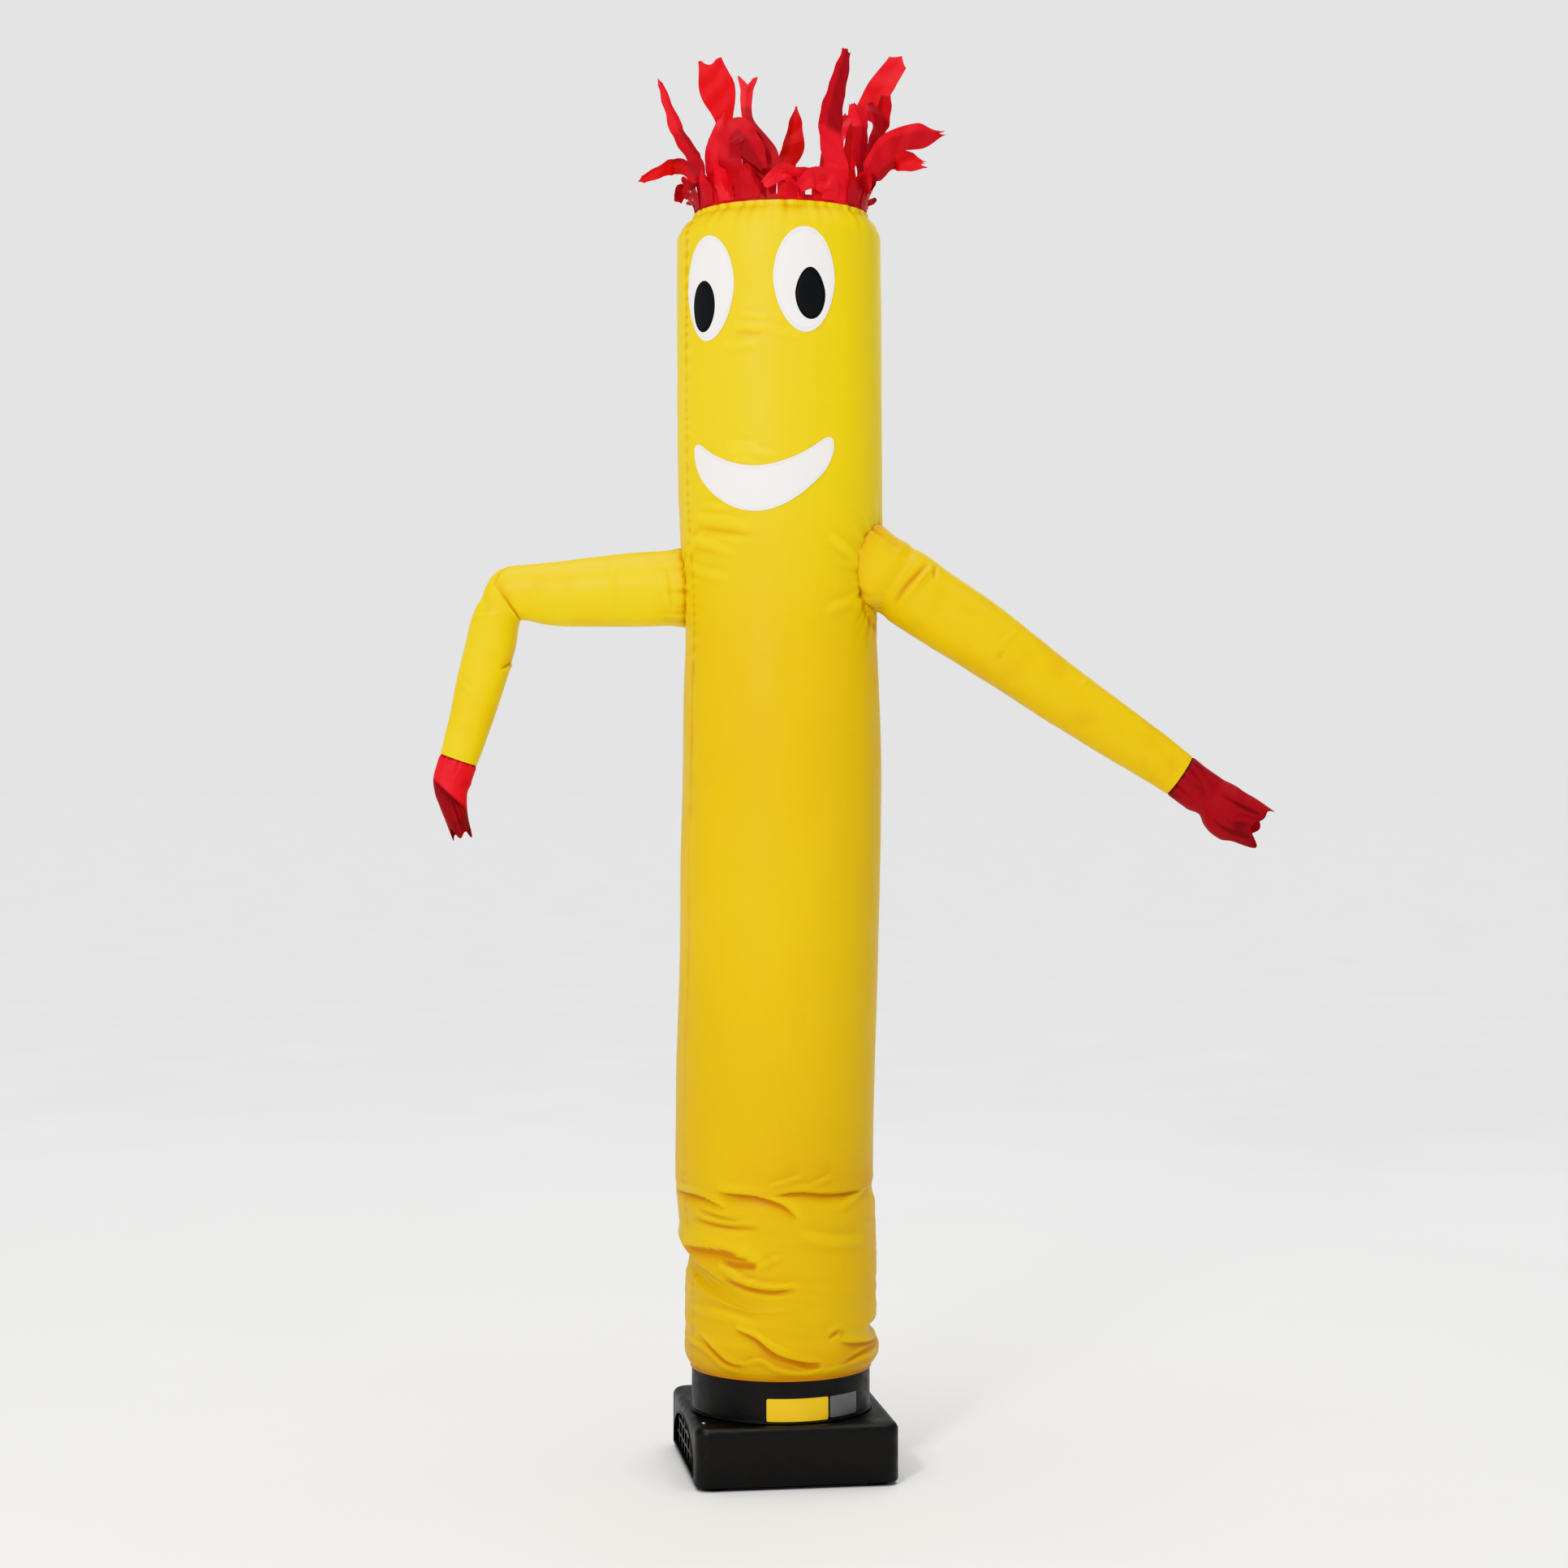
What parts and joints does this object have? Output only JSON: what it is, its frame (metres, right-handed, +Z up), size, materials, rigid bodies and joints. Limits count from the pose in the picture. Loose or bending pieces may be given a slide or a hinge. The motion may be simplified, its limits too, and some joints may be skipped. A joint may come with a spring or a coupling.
{
  "type": "inflatable air dancer",
  "caption": "Tall inflatable tube figure in yellow cloth with waving arms, red hands, a smiling face and a crown of red streamers, standing on a square black blower.",
  "frame": {"origin": "floor point under the tube's axis, below the flat pad of the base plate", "axes": "+Z up the tube, -Y towards the viewer, +X to the viewer's right"},
  "size_m": [1.7821, 0.505, 3.0195],
  "materials": {
    "yellow_cloth": "ripstop cloth, satin",
    "red_cloth": "ripstop cloth, satin",
    "white_cloth": "sewn cloth, matte",
    "black_cloth": "sewn cloth, matte",
    "black_plastic": "fine-grained moulding",
    "rubber": "matte",
    "steel": "bright screw head",
    "yellow_plate": "blank plate",
    "grey_plate": "blank plate"
  },
  "bodies": {
    "root": {"body_tube": "yellow_cloth", "top_panel": "yellow_cloth", "arm_left": "yellow_cloth", "arm_right": "yellow_cloth", "hand_left": "red_cloth", "hand_right": "red_cloth", "eye_left": "white_cloth", "eye_right": "white_cloth", "pupil_left": "black_cloth", "pupil_right": "black_cloth", "mouth": "white_cloth", "hair_back_left": "red_cloth", "hair_left": "red_cloth", "hair_front_left": "red_cloth", "hair_front_right": "red_cloth", "hair_right": "red_cloth", "hair_back_right": "red_cloth", "blower_housing": "black_plastic", "base_plate": "black_plastic", "intake_guard": "black_plastic", "outlet_drum": "black_plastic", "foot_front_left": "rubber", "foot_front_right": "rubber", "foot_back_left": "rubber", "foot_back_right": "rubber", "housing_screw": "steel", "plate_yellow": "yellow_plate", "plate_grey": "grey_plate"}
  },
  "joints": []
}
